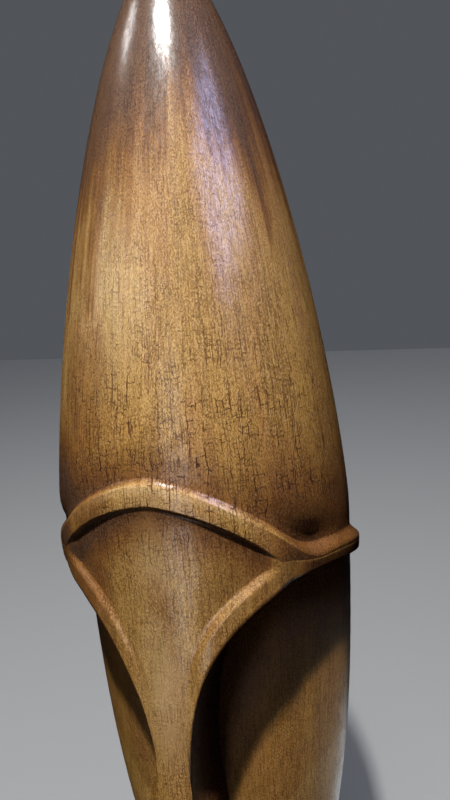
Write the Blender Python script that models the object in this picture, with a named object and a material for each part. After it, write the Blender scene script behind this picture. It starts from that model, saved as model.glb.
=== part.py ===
"""A tall wooden face, carved from one round log.

The head is a smooth pointed body. Around its girth runs a raised brow band, which arches over a
shield-shaped panel in front and sweeps down and back as a wing on each side. Two rims run from the
arch's corners down into one long narrow nose. Beside the nose the cheeks are cut far back, and the
small mouth, chin and short neck below them are plain.

The surface is worked out as a grid. Its columns run from the point of the head to the neck, and its
rows follow the carved lines, so that every carved edge lies on a row. Azimuths are in degrees from
the front, which is -Y, and a line's drop is its distance below the brow level.
"""
import bpy
import numpy as np

# Driving dimensions, in metres, with heights above the underside
HEIGHT = 0.600
GIRTH_RADIUS = 0.0744
NECK_RADIUS = 0.038
FOOT_RADIUS = 0.046
FOOT_HEIGHT = 0.030

# Levels of the free form, as shares of its height
GIRTH_LEVEL = 0.569 * HEIGHT
BROW_LEVEL = 0.589 * HEIGHT
CHIN_LEVEL = 0.061 * HEIGHT
JAW_LEVEL = 0.125 * HEIGHT

# Exponents of the head's curve: its point, how full it is above, and how full below
POINT_CURVE = 1.31
POINT_FULLNESS = 0.61
LOWER_CURVE = 2.67

# Brow band: an arch over the front
CORNER_AZIMUTH = 43.4
ARCH_TOP_RISE = 0.0258
ARCH_TOP_FALL = 0.0270
ARCH_CURVE = 1.70
VALLEY_ROUND = 0.010
BAND_HEIGHT = 0.0113
BAND_SPREAD = 0.27
BAND_SPREAD_CURVE = 6.0
BAND_PROUD = 0.0003
BAND_SWELL = 0.0004
BAND_EDGE = 0.0034
BAND_FOOT = 0.0022
CORNER_FOOT = 0.0006

# Brow band: a wing on each side, whose upper and lower edges sweep down to the back
WING_START = 62.0
WING_FOOT_START = 58.0
WING_SPAN = 32.0
WING_REACH = 75.0
WING_DROP = 0.0142
WING_HEIGHT = 0.0120
WING_SWEEP = 0.0093
WING_FOOT_SWEEP = 0.00885
WING_PROUD = 0.0043
WING_EDGE = 0.0060
WING_SOFT = (44.0, 62.0)
WING_RISE = (55.0, 90.0)
WING_FADE = (100.0, 135.0)

# Hollows just above the band
BROW_HOLLOW = 0.0012
BROW_HOLLOW_FADE = (50.0, 80.0)
TEMPLE_HOLLOW = 0.0034
TEMPLE_AZIMUTH = 57.0
TEMPLE_WIDTH = 11.0
HOLLOW_HEIGHT = 0.009

# Shield, and the rims from the arch's corners down into the nose
SHIELD_RADIUS = 0.0714
SHIELD_DROP = 0.025
CORNER_RISE = 0.0026
CORNER_SWELL = (22.0, 50.0)
CORNER_BLEND = (34.0, 44.0)
RIM_RISE = 0.0021
RIM_GROOVE = 0.0006
RIM_CREST = 0.3
CREST_FALL = 0.2
RIM_TIP_DROP = 0.082
RIM_HALF_AZIMUTH = 1.8
RIM_CORNER_DROP = 0.0150
RIM_FLARE = 0.0240
RIM_FADE = (0.25, 0.60)

# Nose
NOSE_TIP_DROP = 0.166
NOSE_TIP_RADIUS = 0.0730
NOSE_HALF_AZIMUTH = 4.7
NOSE_CORNER_AZIMUTH = 47.5
NOSE_FLARE = 0.0272
NOSE_EDGE = 0.0020
NOSE_ROLL = (0.3, 0.7)
NOSE_TIP_ROUND = 0.007
NOSE_TIP_SLOPE = 0.0175
NOSE_CORNER_LIFT = 0.0035
NOSE_CORNER_CURVE = 3.0
NOSE_FOOT_CURVE = 8.0
NOSE_UNDERCUT = 0.005
NOSTRIL_AZIMUTH = 2.4
NOSTRIL_LENGTH = 0.016
NOSTRIL_DROP = 0.158

# Cheeks: round faces set back from the log, as shares of its radius
CHEEK_ROUND = 0.82
CHEEK_ASIDE = 0.245
CHEEK_BACK = 0.335
CHEEK_EDGE = 0.004
CLIFF_SPREAD = 0.0025
CLIFF_TURN = (10.0, 60.0)
HOLLOW_LEAST = 0.3

# Mouth and chin, on a ridge that grows from the nose's foot down to the chin
MOUTH_DROP = 0.206
MOUTH_HALF = 0.020
LIP_HEIGHT = 0.0085
LIP_RISE = 0.0045
LIP_SPACING = 0.00425
LIP_ROUND = 0.00323
MUZZLE_RISE = 0.018
CHIN_DROP = 0.250
CHIN_RISE = 0.027
RIDGE_HALF = 0.027
JAW_ROUND = 0.009

# Grid steps along the nose's foot, its side and the wing to the back, and the spacing of the columns
COLUMN_STEPS = (4, 16, 15)
CROWN_FOOT = 3.0
CROWN_SPACING = 0.8
NOSE_SPACING = 1.5
WING_SPACING = 1.2
RIM_SHARE = 0.64
LOWER_AZIMUTHS = (20.0, 46.0, 114.0)
SIDE_LIFT = 0.060

# Grid rows from the point of the head down to the underside, and how they crowd towards an edge
CROWN_ROWS = 16
BAND_ROWS = 4
SHIELD_ROWS = 6
RIM_ROWS = 5
CLIFF_ROWS = 3
CHEEK_ROWS = 8
LIP_ROWS = 8
JAW_ROWS = 11
NECK_ROWS = 6
CROWN_EASE = 1.5
CHEEK_EASE = 0.8
JAW_EASE = 1.3
NECK_EASE = 0.8

WOOD_COLOUR = (0.33, 0.165, 0.055, 1.0)
WOOD_ROUGHNESS = 0.38
SHARP_ANGLE = 35.0


def smooth(value, low, high):
    """An S curve from 0 at low to 1 at high."""
    t = np.clip((value - low) / (high - low), 0.0, 1.0)
    return t * t * (3.0 - 2.0 * t)


def bump(value, width):
    """A bell that is 1 at 0 and has fallen to a third at width."""
    return np.exp(-(value / width) ** 2)


def parabola(t):
    """An arch that is 0 at 0 and 1, and 1 halfway between."""
    return 4.0 * t * (1.0 - t)


def mix(a, b, t):
    """The point t of the way from a to b."""
    return a + (b - a) * t


def soft_least(a, b, blend):
    """The smaller of two values, with the edge between them rounded over blend."""
    h = np.clip(0.5 + 0.5 * (b - a) / blend, 0.0, 1.0)
    return mix(b, a, h) - blend * h * (1.0 - h)


def log_radius(z):
    """The round head before carving: full at the girth, closing to a point above and a chin below."""
    above = np.clip((z - GIRTH_LEVEL) / (HEIGHT - GIRTH_LEVEL), 0.0, 1.0)
    below = np.clip((GIRTH_LEVEL - z) / (GIRTH_LEVEL - CHIN_LEVEL), 0.0, 1.0)
    return GIRTH_RADIUS * (1.0 - above ** POINT_CURVE) ** POINT_FULLNESS * np.sqrt(1.0 - below ** LOWER_CURVE)


def arch_drop(azimuth):
    """Drop of the arch's upper edge: a flat crown that falls ever faster to the corners."""
    return ARCH_TOP_FALL * (azimuth / CORNER_AZIMUTH) ** ARCH_CURVE - ARCH_TOP_RISE


def sweep(beyond, fall):
    """Fall of a wing's edge, beyond degrees past its start: ever faster, then level at the back."""
    beyond = WING_REACH * np.tanh(beyond / WING_REACH)
    return fall * (beyond / WING_SPAN) ** 2


def wing_top(azimuth):
    """Drop of the wing's upper edge, level up to where the sweep starts."""
    return WING_DROP + sweep(np.clip(azimuth - WING_START, 0.0, None), WING_SWEEP)


def wing_foot(azimuth):
    """Drop of the wing's lower edge."""
    return WING_DROP + WING_HEIGHT + sweep(azimuth - WING_FOOT_START, WING_FOOT_SWEEP)


def band_top(azimuth):
    """Drop of the band's upper edge: the arch, then the wing, with a soft valley between them."""
    return soft_least(arch_drop(azimuth), wing_top(azimuth), VALLEY_ROUND)


def corner_share(azimuth):
    """Near 0 along the arch, rising late to 1 at its corner and behind it."""
    return np.minimum(azimuth / CORNER_AZIMUTH, 1.0) ** BAND_SPREAD_CURVE


def band_height(azimuth):
    """Height of the arch's band, which spreads a little towards the corners."""
    return BAND_HEIGHT * (1.0 + BAND_SPREAD * corner_share(azimuth))


def columns():
    """Places of the half ring's columns along the nose's foot, its side, and the wing to the back."""
    foot, side, wing = COLUMN_STEPS
    place = np.concatenate([np.linspace(0.0, 1.0, foot, endpoint=False),
                            np.linspace(1.0, 2.0, side, endpoint=False),
                            np.linspace(2.0, 3.0, wing + 1)])
    return [np.clip(place - start, 0.0, 1.0) for start in (0.0, 1.0, 2.0)]


FOOT, SIDE, WING = columns()


def behind(corner):
    """How far each column of the wing has turned past the corner on its way to the back."""
    return (180.0 - corner) * WING ** WING_SPACING


def nose_line(half, tip_drop, corner_azimuth, corner_drop, flare):
    """A line round the nose: across its tip, up its side, and flaring out to the brow's corner."""
    drop = corner_drop + (tip_drop - corner_drop) * (1.0 - SIDE) ** NOSE_SPACING
    azimuth = half + (corner_azimuth - half) * np.exp((corner_drop - drop) / flare)
    return azimuth * FOOT + behind(corner_azimuth), drop


def nostrils(azimuth, drop):
    """The nose's outline, widened a little at its tip, whose lower corners are rounded off."""
    wide = azimuth + NOSTRIL_AZIMUTH * FOOT * bump(drop - NOSTRIL_DROP, NOSTRIL_LENGTH)
    return wide, drop - NOSE_CORNER_LIFT * FOOT ** NOSE_CORNER_CURVE * (1.0 - SIDE) ** NOSE_FOOT_CURVE


def carved_lines():
    """Azimuth and drop of each carved line at every column of one side, from top to bottom."""
    aside = (CORNER_AZIMUTH - CROWN_FOOT) * (1.0 - (1.0 - SIDE) ** CROWN_SPACING)
    azimuth = CROWN_FOOT * FOOT + aside + behind(CORNER_AZIMUTH)
    top = azimuth, band_top(azimuth)
    lip = azimuth, top[1] + mix(BAND_EDGE, WING_EDGE, smooth(azimuth, *WING_SOFT))
    band = top[1] + band_height(azimuth)

    brow_azimuth, drop = nostrils(*nose_line(NOSE_HALF_AZIMUTH, NOSE_TIP_DROP, NOSE_CORNER_AZIMUTH,
                                             wing_foot(NOSE_CORNER_AZIMUTH), NOSE_FLARE))
    brow = brow_azimuth, np.where(WING > 0.0, wing_foot(brow_azimuth), drop)

    arch_share = (band - top[1])[SIDE >= 1.0][0] / (brow[1] - top[1])[SIDE >= 1.0][0]
    arch = (np.where(WING > 0.0, mix(azimuth, brow_azimuth, arch_share), azimuth),
            np.where(WING > 0.0, mix(top[1], brow[1], arch_share), band))
    panel = arch[0], arch[1] + mix(BAND_FOOT, CORNER_FOOT, corner_share(azimuth))

    rim_azimuth, drop = nose_line(RIM_HALF_AZIMUTH, RIM_TIP_DROP, CORNER_AZIMUTH, RIM_CORNER_DROP, RIM_FLARE)
    rim = (np.where(WING > 0.0, mix(azimuth, brow_azimuth, RIM_SHARE), rim_azimuth),
           np.where(WING > 0.0, mix(top[1], brow[1], RIM_SHARE), drop))

    low_azimuth = np.dot(LOWER_AZIMUTHS, [FOOT, SIDE, WING])
    mouth = MOUTH_DROP - SIDE_LIFT * smooth(low_azimuth, LOWER_AZIMUTHS[0], 90.0)
    jaw = low_azimuth, np.full_like(low_azimuth, BROW_LEVEL - JAW_LEVEL)
    return dict(top=top, lip=lip, arch=arch, panel=panel, rim=rim, brow=brow, jaw=jaw,
                lips_top=(low_azimuth, mouth - LIP_HEIGHT), lips_foot=(low_azimuth, mouth + LIP_HEIGHT))


def crown_radius(azimuth, drop):
    """The plain head, dished a little just above the brow band and more at the temples."""
    dish = BROW_HOLLOW * (1.0 - smooth(azimuth, *BROW_HOLLOW_FADE))
    dish = dish + TEMPLE_HOLLOW * bump(azimuth - TEMPLE_AZIMUTH, TEMPLE_WIDTH)
    return log_radius(BROW_LEVEL - drop) - dish * bump(drop - band_top(azimuth), HOLLOW_HEIGHT)


def band_share(azimuth, drop):
    """How far down the band a point is, from 0 at its upper edge to 1 at its lower edge."""
    height = mix(band_height(azimuth), wing_foot(azimuth) - band_top(azimuth), smooth(azimuth, *CORNER_BLEND))
    return np.clip((drop - band_top(azimuth)) / height, 0.0, 1.0)


def brow_radius(azimuth, drop):
    """The band: rounded, a little proud in front and more on the wings, and faded out at the back."""
    share = band_share(azimuth, drop)
    proud = mix(BAND_PROUD, WING_PROUD, smooth(azimuth, *WING_RISE)) + BAND_SWELL * parabola(share)
    return log_radius(BROW_LEVEL - drop) + proud * (1.0 - smooth(azimuth, *WING_FADE))


def face_radius(azimuth, drop):
    """The shield and nose: a round panel that rises to the brow's corners and out to the nose's tip."""
    rise = (NOSE_TIP_RADIUS - SHIELD_RADIUS) * smooth(drop, SHIELD_DROP, NOSE_TIP_DROP)
    tip = NOSE_TIP_ROUND * smooth(drop, NOSE_TIP_DROP - NOSE_TIP_SLOPE, NOSE_TIP_DROP + NOSE_TIP_ROUND)
    face = SHIELD_RADIUS + rise - tip + CORNER_RISE * smooth(azimuth, *CORNER_SWELL)
    return mix(face, brow_radius(azimuth, drop), smooth(azimuth, *CORNER_BLEND))


def cheek_circle(drop):
    """Level by level, a cheek is an arc of a circle: its distance aside and back, and its radius."""
    log = log_radius(BROW_LEVEL - drop)
    return CHEEK_ASIDE * log, CHEEK_BACK * log, CHEEK_ROUND * log


def cheek_radius(azimuth, drop):
    """The cheeks: a round face on each side, set back from the log, with the mouth and chin in front."""
    angle = np.radians(azimuth)
    aside, back, arc = cheek_circle(drop)
    along = aside * np.sin(angle) - back * np.cos(angle)
    cut = along + np.sqrt(arc ** 2 - aside ** 2 - back ** 2 + along ** 2)
    cheek = soft_least(log_radius(BROW_LEVEL - drop), cut, CHEEK_EDGE)

    across = cheek * np.sin(np.minimum(angle, np.pi / 2.0))
    muzzle = MUZZLE_RISE * smooth(drop, NOSE_TIP_DROP, MOUTH_DROP)
    chin = (CHIN_RISE - MUZZLE_RISE) * smooth(drop, MOUTH_DROP, CHIN_DROP)
    under = 1.0 - smooth(drop, CHIN_DROP, BROW_LEVEL - JAW_LEVEL)
    ridge = (muzzle + chin) * under * bump(across, RIDGE_HALF)
    lips = sum(bump(drop - MOUTH_DROP + side * LIP_SPACING, LIP_ROUND) for side in (-1.0, 1.0))
    return cheek + ridge + LIP_RISE * lips * np.clip(1.0 - (across / MOUTH_HALF) ** 2, 0.0, 1.0)


def hollow_line(brow):
    """Foot of the cut behind the brow and nose: straight back beside the nose, straight in under the wing."""
    azimuth, drop, radius = brow
    drop = drop + NOSE_UNDERCUT * (1.0 - SIDE) ** NOSE_FOOT_CURVE
    aside, back, arc = cheek_circle(drop)
    across = radius * np.sin(np.radians(azimuth)) + CLIFF_SPREAD * FOOT
    depth = back - np.sqrt(np.maximum(arc ** 2 - (across - aside) ** 2, (HOLLOW_LEAST * arc) ** 2))
    straight = np.degrees(np.arctan2(across, -depth))
    return mix(straight, azimuth, smooth(azimuth, *CLIFF_TURN)), drop


def neck_radius(z):
    """The neck: straight, with a foot that flares to the flat underside."""
    flare = np.clip(1.0 - z / FOOT_HEIGHT, 0.0, 1.0) ** 2
    return NECK_RADIUS + (FOOT_RADIUS - NECK_RADIUS) * flare


def jaw_radius(azimuth, drop):
    """Below the jaw the head closes onto the neck."""
    head = cheek_radius(azimuth, drop)
    neck = neck_radius(BROW_LEVEL - drop)
    return -soft_least(-head, -neck, JAW_ROUND)


def rows_between(above, below, count, surface, ease=1.0):
    """Rows from one line to the next, without the first, as azimuth, drop and radius."""
    rows = []
    for step in range(1, count + 1):
        t = (step / count) ** ease
        azimuth = mix(above[0], below[0], t)
        drop = mix(above[1], below[1], t)
        rows.append((azimuth, drop, surface(azimuth, drop, t)))
    return rows


def straight_between(a, b, t):
    """The point t of the way along the straight line from a to b, as azimuth, drop and radius."""
    (side_a, side_b), (front_a, front_b) = [[row[2] * turn(np.radians(row[0])) for row in (a, b)]
                                            for turn in (np.sin, np.cos)]
    side, front = mix(side_a, side_b, t), mix(front_a, front_b, t)
    return np.degrees(np.arctan2(side, front)), mix(a[1], b[1], t), np.hypot(side, front)


def surface_rows():
    """All rows of one side, from just below the point of the head to the underside."""
    line = carved_lines()
    tip = line["top"][0], np.full_like(FOOT, BROW_LEVEL - HEIGHT)
    rim_share = smooth(SIDE, *RIM_FADE)
    rim_strength = rim_share * (1.0 - smooth(line["rim"][0], *CORNER_BLEND))
    roll_start = mix(*NOSE_ROLL, rim_share)
    lip_azimuth, lip_drop = line["lip"]

    def crown(azimuth, drop, t):
        return crown_radius(azimuth, drop)

    def band(azimuth, drop, t):
        return brow_radius(azimuth, drop)

    def panel(azimuth, drop, t):
        return face_radius(azimuth, drop) - RIM_GROOVE * rim_strength * smooth(t, RIM_CREST, 1.0)

    def rim(azimuth, drop, t):
        ridge = RIM_RISE * smooth(t, 0.0, RIM_CREST) * (1.0 - CREST_FALL * t) - RIM_GROOVE * (1.0 - t)
        return face_radius(azimuth, drop) + rim_strength * ridge - NOSE_EDGE * smooth(t, roll_start, 1.0)

    rows = rows_between(tip, line["top"], CROWN_ROWS, crown, CROWN_EASE)
    rows.append((lip_azimuth, lip_drop, brow_radius(lip_azimuth, lip_drop)))
    rows += rows_between(line["lip"], line["arch"], BAND_ROWS, band)
    rows += rows_between(line["arch"], line["panel"], 1, lambda a, d, t: face_radius(a, d))
    rows += rows_between(line["panel"], line["rim"], SHIELD_ROWS, panel)
    rows += rows_between(line["rim"], line["brow"], RIM_ROWS, rim)

    edge = rows[-1]
    line["hollow"] = hollow_line(edge)
    foot = line["hollow"] + (cheek_radius(*line["hollow"]),)
    for step in range(1, CLIFF_ROWS + 1):
        rows.append(straight_between(edge, foot, step / CLIFF_ROWS))
    rows += rows_between(line["hollow"], line["lips_top"], CHEEK_ROWS,
                         lambda a, d, t: cheek_radius(a, d), CHEEK_EASE)
    rows += rows_between(line["lips_top"], line["lips_foot"], LIP_ROWS, lambda a, d, t: cheek_radius(a, d))
    rows += rows_between(line["lips_foot"], line["jaw"], JAW_ROWS, lambda a, d, t: jaw_radius(a, d), JAW_EASE)
    floor = line["jaw"][0], np.full_like(FOOT, BROW_LEVEL)
    rows += rows_between(line["jaw"], floor, NECK_ROWS, lambda a, d, t: jaw_radius(a, d), NECK_EASE)
    return rows


def whole_rings():
    """Points of all rows, as rows by columns by coordinates: one side, then its mirror image."""
    azimuth, drop, radius = np.transpose(surface_rows(), (1, 0, 2))
    angle = np.radians(azimuth)
    side = np.stack([radius * np.sin(angle), -radius * np.cos(angle), BROW_LEVEL - drop], axis=2)
    side[:, (0, -1), 0] = 0.0
    mirror = side[:, -2:0:-1] * (-1.0, 1.0, 1.0)
    return np.concatenate([side, mirror], axis=1)


def build_face():
    """One closed mesh: a fan at the point of the head, rings of quads, and a flat underside."""
    rings = whole_rings()
    around = len(rings[0])
    points = np.concatenate([[(0.0, 0.0, HEIGHT)], rings.reshape(-1, 3)])
    after = np.roll(np.arange(around), -1)

    faces = [(0, 1 + i, 1 + after[i]) for i in range(around)]
    for row in range(len(rings) - 1):
        start = 1 + row * around
        for i in range(around):
            faces.append((start + i, start + around + i, start + around + after[i], start + after[i]))
    last = 1 + (len(rings) - 1) * around
    faces.append(tuple(last + around - 1 - i for i in range(around)))

    mesh = bpy.data.meshes.new("face_sculpture")
    mesh.from_pydata(points.tolist(), [], [tuple(int(i) for i in face) for face in faces])
    mesh.shade_smooth()
    mesh.set_sharp_from_angle(angle=np.radians(SHARP_ANGLE))
    return bpy.data.objects.new("face_sculpture", mesh)


def wood_material():
    """Honey-brown varnished wood."""
    material = bpy.data.materials.new("carved_wood")
    material.use_nodes = True
    shader = material.node_tree.nodes["Principled BSDF"]
    shader.inputs["Base Color"].default_value = WOOD_COLOUR
    shader.inputs["Roughness"].default_value = WOOD_ROUGHNESS
    shader.inputs["Metallic"].default_value = 0.0
    return material


for old in list(bpy.data.objects):
    bpy.data.objects.remove(old, do_unlink=True)

face = build_face()
face.data.materials.append(wood_material())
bpy.context.scene.collection.objects.link(face)
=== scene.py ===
# %% [markdown]
# # A tall carved wooden face
# The real object is one block of wood: a pointed head with an arched brow band, a shield-shaped
# panel that runs down into a long nose, and cheeks cut far back beside it. This lesson builds its
# visible surface over a plain solid model, which is loaded first and gives the size to keep to.

# %% Load the solid model
import bpy
import numpy as np
from mathutils import Matrix


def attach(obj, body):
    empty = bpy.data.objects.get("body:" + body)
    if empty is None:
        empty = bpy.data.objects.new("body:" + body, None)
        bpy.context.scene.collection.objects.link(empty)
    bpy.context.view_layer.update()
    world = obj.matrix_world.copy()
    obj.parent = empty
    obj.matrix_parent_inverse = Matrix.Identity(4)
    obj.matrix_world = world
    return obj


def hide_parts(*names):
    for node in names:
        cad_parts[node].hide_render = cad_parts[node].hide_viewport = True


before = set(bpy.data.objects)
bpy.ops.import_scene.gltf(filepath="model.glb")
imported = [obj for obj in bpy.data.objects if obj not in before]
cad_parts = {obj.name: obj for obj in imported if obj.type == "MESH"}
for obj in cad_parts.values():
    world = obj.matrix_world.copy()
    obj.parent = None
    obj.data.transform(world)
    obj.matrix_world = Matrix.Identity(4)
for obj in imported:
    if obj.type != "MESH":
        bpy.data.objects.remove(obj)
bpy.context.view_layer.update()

# %% [markdown]
# ## The camera
# A photographer who stands close to a tall face sees it in strong perspective, narrower at the
# bottom. A camera can be turned by hand until the picture looks right, but here its place is
# written as what a photographer would set: how far round the face it stands, how high and how
# close, and how it is pitched, turned aside and rolled. The axes follow from those six numbers.

# %% Camera from six settings
CAMERA_ROUND = 19.6
CAMERA_DISTANCE = 0.300
CAMERA_HEIGHT = 0.4587
CAMERA_PITCH = 12.0
CAMERA_ASIDE = -2.65
CAMERA_ROLL = -3.90
LENS_MM = 27.0
SENSOR_MM = 36.0
NEAREST = 0.01


def direction(azimuth, elevation):
    """Unit vector that points azimuth degrees round from the front (-Y) and elevation degrees up."""
    azimuth, elevation = np.radians(azimuth), np.radians(elevation)
    level = np.cos(elevation)
    return np.array([np.sin(azimuth) * level, -np.cos(azimuth) * level, np.sin(elevation)])


def placed(right, up, back, place):
    """A 4 by 4 matrix whose columns are the right, up and back directions and the place."""
    return Matrix([*np.transpose([right, up, back, place]).tolist(), [0.0, 0.0, 0.0, 1.0]])


def photographer_camera():
    """Camera whose view is turned from the head's axis by the pitch, the aside angle and the roll."""
    place = CAMERA_DISTANCE * direction(CAMERA_ROUND, 0.0) + (0.0, 0.0, CAMERA_HEIGHT)
    back = direction(CAMERA_ROUND + CAMERA_ASIDE, CAMERA_PITCH)
    right = direction(CAMERA_ROUND + CAMERA_ASIDE + 90.0, 0.0)
    up = np.cross(back, right)
    roll = np.radians(CAMERA_ROLL)
    turned = np.cos(roll) * right + np.sin(roll) * up, np.cos(roll) * up - np.sin(roll) * right
    camera = bpy.data.objects.new("camera", bpy.data.cameras.new("camera"))
    camera.data.lens, camera.data.sensor_width, camera.data.clip_start = LENS_MM, SENSOR_MM, NEAREST
    camera.matrix_world = placed(*turned, back, place)
    bpy.context.scene.collection.objects.link(camera)
    bpy.context.scene.camera = camera
    return camera


camera = photographer_camera()
print("camera at", [round(v, 3) for v in camera.matrix_world.translation])

# %% [markdown]
# ## The log
# Before any carving the head is a round log, turned or rasped to a long pointed bud. A sphere could
# be stretched to it, but a real bud is not an ellipse: its point is sharper and its shoulders are
# fuller. A radius that depends on the height alone, with named exponents, gives that curve. Heights
# below are measured down from the brow level, and each such distance is called a drop.

# %% The log's radius
HEIGHT = 0.600
GIRTH_RADIUS = 0.0744
GIRTH_LEVEL = 0.569 * HEIGHT
BROW_LEVEL = 0.589 * HEIGHT
CHIN_LEVEL = 0.061 * HEIGHT
JAW_LEVEL = 0.125 * HEIGHT
POINT_CURVE = 1.31
POINT_FULLNESS = 0.61
LOWER_CURVE = 2.67


def smooth(value, low, high):
    """S curve: t times t times (3 - 2 t), where t runs from 0 at low to 1 at high."""
    t = np.clip((value - low) / (high - low), 0.0, 1.0)
    return t * t * (3.0 - 2.0 * t)


def bump(value, width):
    """Bell: e to the power of minus (value over width) squared."""
    return np.exp(-(value / width) ** 2)


def parabola(t):
    """Four times t times (1 - t): 0 at both ends and 1 halfway."""
    return 4.0 * t * (1.0 - t)


def mix(a, b, t):
    """The point t of the way from a to b."""
    return a + (b - a) * t


def soft_least(a, b, blend):
    """The smaller of a and b, less a small parabola where they cross, which rounds the edge."""
    h = np.clip(0.5 + 0.5 * (b - a) / blend, 0.0, 1.0)
    return mix(b, a, h) - blend * h * (1.0 - h)


def log_radius(z):
    """Girth radius times a power curve that closes above and a square root that closes below."""
    above = np.clip((z - GIRTH_LEVEL) / (HEIGHT - GIRTH_LEVEL), 0.0, 1.0)
    below = np.clip((GIRTH_LEVEL - z) / (GIRTH_LEVEL - CHIN_LEVEL), 0.0, 1.0)
    closing = (1.0 - above ** POINT_CURVE) ** POINT_FULLNESS
    return GIRTH_RADIUS * closing * np.sqrt(1.0 - below ** LOWER_CURVE)


print("log radius at the brow:", round(float(log_radius(BROW_LEVEL)), 4))

# %% [markdown]
# ## A grid that follows the carving
# The carver drew lines on the log and cut along them. A plain grid of rings would cross those lines
# and blur every edge, so the rows of this grid are the drawn lines themselves. Each of its columns
# runs from the point of the head down to the foot. Three numbers say where a column is: how far it
# is along the nose's foot, then up the nose's side, then round the wing to the back.

# %% Columns of the grid
COLUMN_STEPS = (6, 84, 50)
CROWN_FOOT = 3.0
CROWN_SPACING = 0.8
NOSE_SPACING = 1.5
WING_SPACING = 1.2
RIM_SHARE = 0.64
LOWER_AZIMUTHS = (20.0, 46.0, 114.0)
SIDE_LIFT = 0.060


def columns():
    """Places from 0 to 3 along foot, side and wing, each clipped to its own stretch of 1."""
    foot, side, wing = COLUMN_STEPS
    place = np.concatenate([np.linspace(0.0, 1.0, foot, endpoint=False),
                            np.linspace(1.0, 2.0, side, endpoint=False),
                            np.linspace(2.0, 3.0, wing + 1)])
    return [np.clip(place - start, 0.0, 1.0) for start in (0.0, 1.0, 2.0)]


FOOT, SIDE, WING = columns()
print("columns on one side:", len(FOOT))

# %% [markdown]
# ## The brow band
# The band is a raised strip, about 11 mm high, left standing when the wood above and below it was
# cut away. In front it arches over the panel; at each temple it dips into a valley and goes on as a
# wing that sweeps down to the back. Its upper edge is the lower of two curves with the crossing
# rounded off, which is just how the two cuts meet in the wood.

# %% Lines of the brow band
CORNER_AZIMUTH = 43.4
ARCH_TOP_RISE = 0.0258
ARCH_TOP_FALL = 0.0270
ARCH_CURVE = 1.70
VALLEY_ROUND = 0.010
BAND_HEIGHT = 0.0113
BAND_SPREAD = 0.27
BAND_SPREAD_CURVE = 6.0
BAND_EDGE = 0.0034
WING_EDGE = 0.0060
WING_SOFT = (44.0, 62.0)
BAND_FOOT = 0.0022
CORNER_FOOT = 0.0006
WING_START = 62.0
WING_FOOT_START = 58.0
WING_SPAN = 32.0
WING_REACH = 75.0
WING_DROP = 0.0142
WING_HEIGHT = 0.0120
WING_SWEEP = 0.0093
WING_FOOT_SWEEP = 0.00885


def arch_drop(azimuth):
    """A power curve: flat at the crown, falling ever faster to the corners."""
    return ARCH_TOP_FALL * (azimuth / CORNER_AZIMUTH) ** ARCH_CURVE - ARCH_TOP_RISE


def sweep(beyond, fall):
    """A parabola of the angle past the start, whose angle is first bent over by tanh to level out."""
    beyond = WING_REACH * np.tanh(beyond / WING_REACH)
    return fall * (beyond / WING_SPAN) ** 2


def wing_top(azimuth):
    """Upper edge of the wing: level, then the sweep."""
    return WING_DROP + sweep(np.clip(azimuth - WING_START, 0.0, None), WING_SWEEP)


def wing_foot(azimuth):
    """Lower edge of the wing: the wing's height below, with a sweep of its own."""
    return WING_DROP + WING_HEIGHT + sweep(azimuth - WING_FOOT_START, WING_FOOT_SWEEP)


def band_top(azimuth):
    """Upper edge of the whole band: the smaller drop of arch and wing, rounded where they cross."""
    return soft_least(arch_drop(azimuth), wing_top(azimuth), VALLEY_ROUND)


def corner_share(azimuth):
    """The sixth power of the azimuth over the corner's: near 0 along the arch and 1 from the corner on."""
    return np.minimum(azimuth / CORNER_AZIMUTH, 1.0) ** BAND_SPREAD_CURVE


def band_height(azimuth):
    """The arch's height, larger at the corners by the spread."""
    return BAND_HEIGHT * (1.0 + BAND_SPREAD * corner_share(azimuth))


print("band's crown is", round(-float(band_top(0.0)) * 1000, 1), "mm above the brow level")

# %% [markdown]
# ## The rims and the nose
# Below each corner of the arch a rim flares in towards the middle, first steeply and then ever
# less, and the two become the long nose. An exponential does that: each few centimetres further
# down, the distance from the nose's side shrinks by the same share.

# %% Lines of the rims and the nose
RIM_TIP_DROP = 0.082
RIM_HALF_AZIMUTH = 1.8
RIM_CORNER_DROP = 0.0150
RIM_FLARE = 0.0240
NOSE_TIP_DROP = 0.166
NOSE_HALF_AZIMUTH = 4.7
NOSE_CORNER_AZIMUTH = 47.5
NOSE_FLARE = 0.0272
NOSE_TIP_ROUND = 0.007
NOSE_TIP_SLOPE = 0.0175
NOSE_CORNER_LIFT = 0.0035
NOSE_CORNER_CURVE = 3.0
NOSE_FOOT_CURVE = 8.0
NOSTRIL_AZIMUTH = 2.4
NOSTRIL_LENGTH = 0.016
NOSTRIL_DROP = 0.158
MOUTH_DROP = 0.206
LIP_HEIGHT = 0.0085


def behind(corner):
    """How far each wing column has turned past the corner on its way to the back."""
    return (180.0 - corner) * WING ** WING_SPACING


def nose_line(half, tip_drop, corner_azimuth, corner_drop, flare):
    """Drop eases from tip to corner by a power; azimuth nears the half width exponentially."""
    drop = corner_drop + (tip_drop - corner_drop) * (1.0 - SIDE) ** NOSE_SPACING
    azimuth = half + (corner_azimuth - half) * np.exp((corner_drop - drop) / flare)
    return azimuth * FOOT + behind(corner_azimuth), drop


def nostrils(azimuth, drop):
    """Adds a bell to the nose's half width near its tip and lifts the lower corners by a cube."""
    wide = azimuth + NOSTRIL_AZIMUTH * FOOT * bump(drop - NOSTRIL_DROP, NOSTRIL_LENGTH)
    return wide, drop - NOSE_CORNER_LIFT * FOOT ** NOSE_CORNER_CURVE * (1.0 - SIDE) ** NOSE_FOOT_CURVE


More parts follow.
